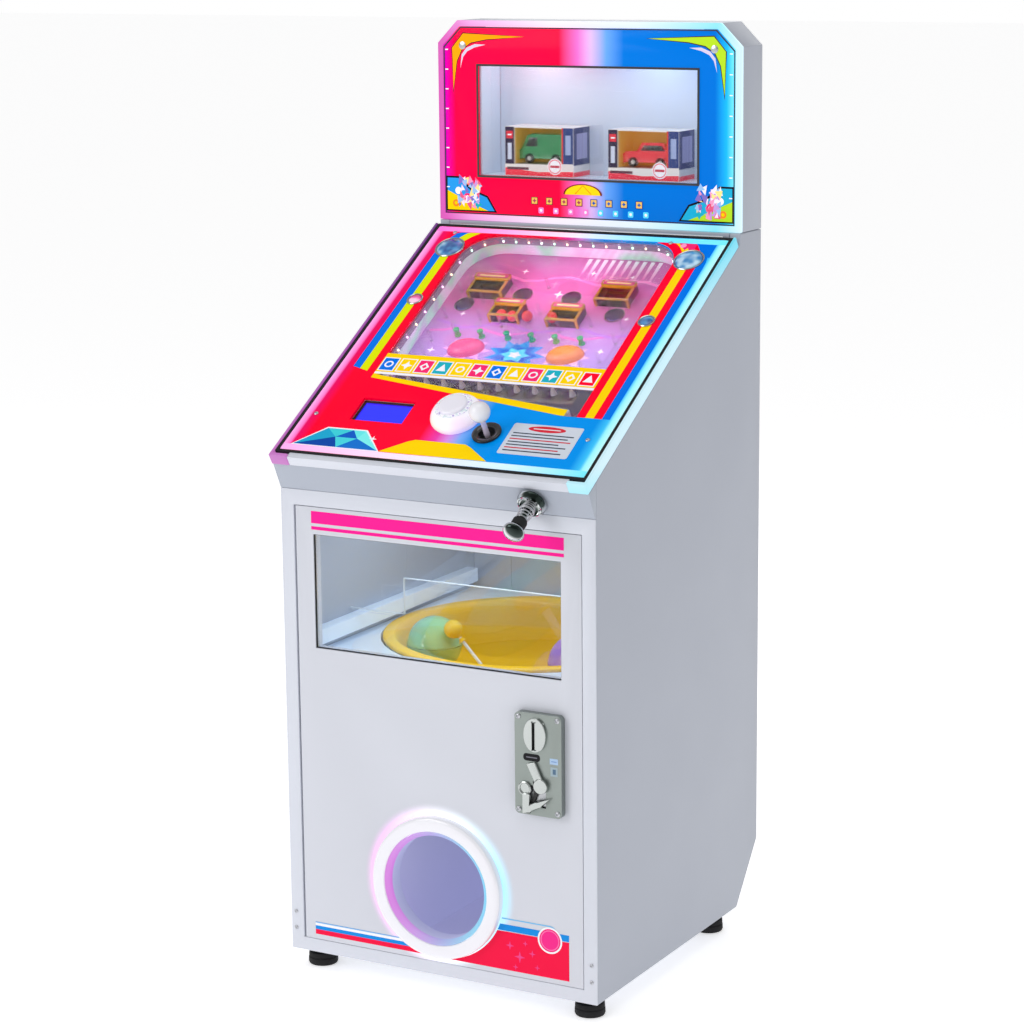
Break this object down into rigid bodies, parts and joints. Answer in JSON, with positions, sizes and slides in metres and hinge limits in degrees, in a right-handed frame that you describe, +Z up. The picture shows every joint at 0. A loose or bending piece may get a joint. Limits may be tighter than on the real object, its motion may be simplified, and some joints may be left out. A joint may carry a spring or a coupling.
{
  "type": "pinball prize machine",
  "caption": "Coin-operated children's marble pinball machine with lit deck, toy display, prize turntable behind a glazed door, exit ring and hinged service doors.",
  "frame": {"origin": "on the floor under the middle of the machine's outline", "axes": "+X to the player's right, +Y from front to back, +Z up"},
  "size_m": [0.45, 0.5466, 1.2104],
  "materials": {
    "side_laminate": "satin",
    "front_lacquer": "satin",
    "door_lacquer": "satin",
    "rubber": "matte",
    "steel": "satin",
    "chrome": "polished",
    "cast_plate": "satin",
    "black_plastic": "matte",
    "white_plastic": "gloss",
    "lit_plastic": "gloss",
    "clear_acrylic": "gloss",
    "printed_glass": "gloss",
    "marquee_print": "gloss",
    "playfield_print": "gloss",
    "light_white": "satin",
    "light_pink": "satin",
    "light_cyan": "satin",
    "bowl_plastic": "satin",
    "capsule_plastic": "gloss",
    "candy": "gloss",
    "toy_card": "satin",
    "circuit_board": "satin"
  },
  "bodies": {
    "cabinet": {"left_side_panel": "side_laminate", "right_side_panel": "side_laminate", "base_board": "side_laminate", "kick_panel": "side_laminate", "top_board": "side_laminate", "front_frame": "front_lacquer", "apron": "door_lacquer", "back_frame": "side_laminate", "foot_front_left": "rubber", "foot_front_right": "rubber", "foot_rear_left": "rubber", "foot_rear_right": "rubber", "door_hinge_pin": "steel", "cash_box": "steel", "prize_shelf": "white_plastic", "drop_plate": "steel", "turntable_motor": "black_plastic", "exit_chute": "front_lacquer", "deck_hinge_pin": "steel", "plunger_housing": "chrome", "plunger_spring": "steel", "playfield_board": "playfield_print", "playfield_rail": "clear_acrylic", "pocket_rack": "clear_acrylic", "marquee_trim": "light_white", "marquee_panel": "marquee_print", "marquee_window": "clear_acrylic", "marquee_shell": "side_laminate", "toy_box_left": "toy_card", "toy_box_right": "toy_card", "service_hinge_pin": "steel", "power_inlet": "black_plastic", "power_supply": "steel", "control_board": "circuit_board"},
    "front_door": {"front_door": "door_lacquer", "door_window": "clear_acrylic", "exit_ring": "white_plastic", "ring_light": "light_white", "coin_plate": "cast_plate", "coin_mechanism": "black_plastic"},
    "coin_flap": {"coin_flap": "steel"},
    "coin_return_lever": {"coin_return_lever": "cast_plate"},
    "deck_lid": {"deck_frame": "door_lacquer", "deck_glass": "printed_glass", "glass_gasket": "rubber", "light_trim_left": "light_pink", "light_trim_right": "light_cyan", "display_module": "black_plastic", "button_dome": "lit_plastic", "joystick_base": "black_plastic"},
    "play_button": {"play_button": "lit_plastic"},
    "joystick_gimbal": {"joystick_gimbal": "steel"},
    "joystick": {"joystick": "white_plastic"},
    "plunger": {"plunger": "chrome"},
    "turntable": {"turntable_bowl": "bowl_plastic", "prize_capsule": "capsule_plastic", "lollipop": "candy"},
    "service_door": {"service_door": "side_laminate"},
    "service_lock": {"service_lock": "chrome"},
    "power_switch": {"power_switch": "black_plastic"}
  },
  "joints": [
    {"name": "front_door_hinge", "type": "hinge", "parent": "cabinet", "child": "front_door", "pos_m": [-0.2004, -0.20052, 0.332], "axis": [0, 0, -1], "range_deg": [0, 95]},
    {"name": "coin_flap_swing", "type": "hinge", "parent": "front_door", "child": "coin_flap", "pos_m": [0.1455, -0.21172, 0.2995], "axis": [1, 0, 0], "range_deg": [0, 60]},
    {"name": "coin_return_press", "type": "hinge", "parent": "front_door", "child": "coin_return_lever", "pos_m": [0.155, -0.21872, 0.3025], "axis": [0, -1, 0], "range_deg": [0, 25], "stiffness_Nm_per_rad": 0.05, "springref_deg": -17.19},
    {"name": "deck_lid_hinge", "type": "hinge", "parent": "cabinet", "child": "deck_lid", "pos_m": [0, 0.19511, 0.93677], "axis": [-1, 0, 0], "range_deg": [0, 45]},
    {"name": "play_button_press", "type": "slide", "parent": "deck_lid", "child": "play_button", "axis": [0, 0.5113, -0.8594], "range_m": [0, 0.004], "stiffness_N_per_m": 400, "springref_m": -0.003},
    {"name": "joystick_fore_aft", "type": "hinge", "parent": "deck_lid", "child": "joystick_gimbal", "pos_m": [0.0544, -0.15322, 0.70394], "axis": [1, 0, 0], "range_deg": [-10, 10], "stiffness_Nm_per_rad": 1.5},
    {"name": "joystick_side", "type": "hinge", "parent": "joystick_gimbal", "child": "joystick", "pos_m": [0.0544, -0.15322, 0.70394], "axis": [0, 0.8594, 0.5113], "range_deg": [-10, 10], "stiffness_Nm_per_rad": 1.5},
    {"name": "plunger_pull", "type": "slide", "parent": "cabinet", "child": "plunger", "axis": [0, -0.8594, -0.5113], "range_m": [0, 0.04], "stiffness_N_per_m": 260, "springref_m": -0.03, "deforming": ["plunger_spring"]},
    {"name": "turntable_spin", "type": "hinge", "parent": "cabinet", "child": "turntable", "pos_m": [0, 0.04928, 0.371], "axis": [0, 0, 1], "continuous": true},
    {"name": "service_door_hinge", "type": "hinge", "parent": "cabinet", "child": "service_door", "pos_m": [-0.144, 0.26308, 0.401], "axis": [0, 0, 1], "range_deg": [0, 95]},
    {"name": "service_lock_turn", "type": "hinge", "parent": "service_door", "child": "service_lock", "pos_m": [0.128, 0.25928, 0.401], "axis": [0, -1, 0], "range_deg": [0, 90]},
    {"name": "power_switch_rock", "type": "hinge", "parent": "cabinet", "child": "power_switch", "pos_m": [-0.08, 0.26428, 0.131], "axis": [1, 0, 0], "range_deg": [0, 14]}
  ]
}
